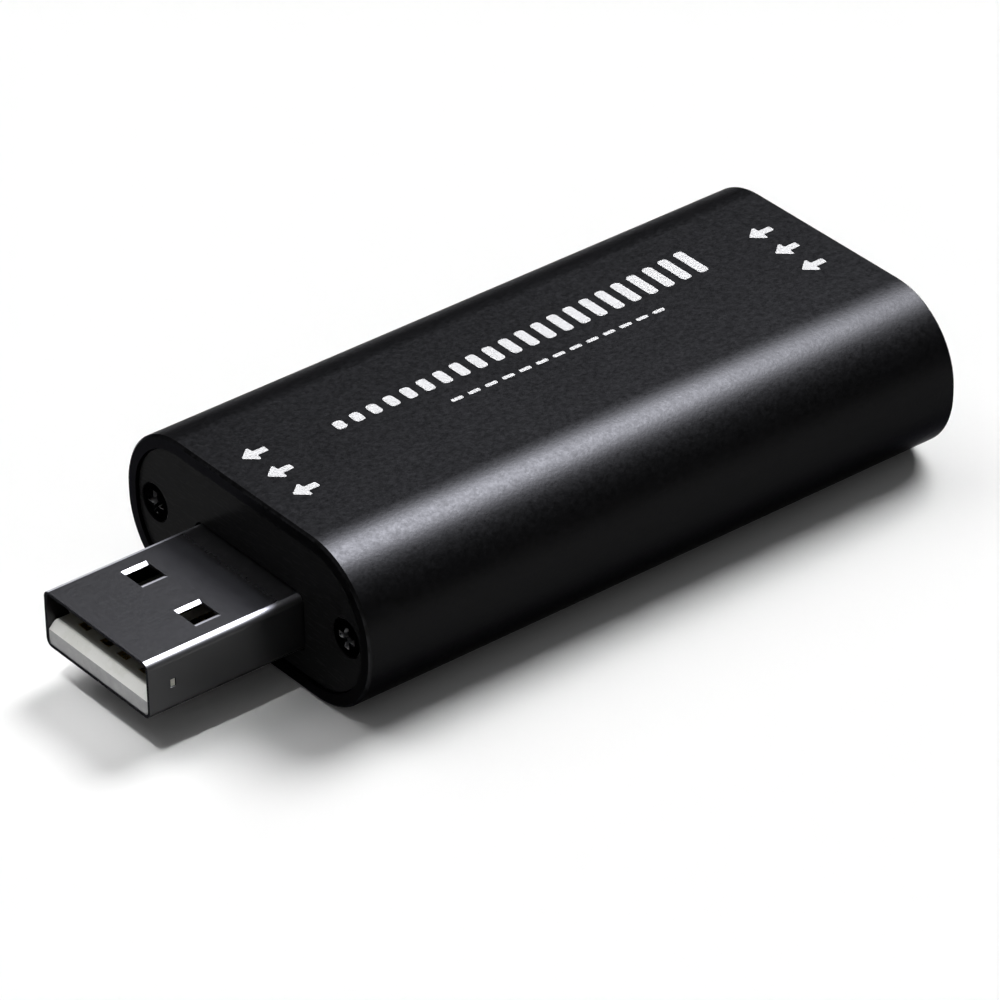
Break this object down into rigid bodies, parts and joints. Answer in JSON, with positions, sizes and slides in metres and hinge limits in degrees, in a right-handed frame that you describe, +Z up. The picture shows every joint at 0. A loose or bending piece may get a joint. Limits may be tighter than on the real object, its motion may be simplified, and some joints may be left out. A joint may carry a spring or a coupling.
{
  "type": "video capture stick",
  "caption": "Black aluminium sleeve with round sides that holds a video capture board, with a computer plug standing out of one end and a video socket in the other.",
  "frame": {"origin": "middle of the sleeve's underside", "axes": "+X along the sleeve from the plug to the socket, +Y across it, +Z up out of the printed top"},
  "size_m": [0.0649, 0.0276, 0.0131],
  "materials": {
    "sleeve_aluminium": "black anodised, bead blasted",
    "plate_black": "black, soft gloss",
    "screw_steel": "dark nickel plate",
    "board_laminate": "green solder mask",
    "plug_steel": "satin nickel plate",
    "plug_insulator": "white moulded",
    "contact_gold": "gold plate",
    "socket_steel": "satin nickel plate",
    "socket_insulator": "black moulded",
    "chip_resin": "matt black resin",
    "lead_tin": "tinned",
    "capacitor_ceramic": "matt tan",
    "dark_ceramic": "matt dark",
    "print_ink": "white screen print on the sleeve"
  },
  "bodies": {
    "root": {"housing_sleeve": "sleeve_aluminium", "output_end_plate": "plate_black", "input_end_plate": "plate_black", "output_end_screws": "screw_steel", "input_end_screws": "screw_steel", "circuit_board": "board_laminate", "plug_shell": "plug_steel", "plug_tongue": "plug_insulator", "plug_contacts": "contact_gold", "socket_shell": "socket_steel", "socket_tongue": "socket_insulator", "socket_contacts": "contact_gold", "capture_chip": "chip_resin", "capture_chip_leads": "lead_tin", "memory_chip": "chip_resin", "memory_chip_leads": "lead_tin", "regulator": "chip_resin", "regulator_leads": "lead_tin", "crystal_base": "dark_ceramic", "crystal_lid": "lead_tin", "surge_arrays": "chip_resin", "filter_beads": "dark_ceramic", "filter_bead_ends": "lead_tin", "large_capacitors": "capacitor_ceramic", "large_capacitor_ends": "lead_tin", "chip_capacitors": "capacitor_ceramic", "chip_capacitor_ends": "lead_tin", "chip_resistors": "dark_ceramic", "chip_resistor_ends": "lead_tin"}
  },
  "joints": []
}
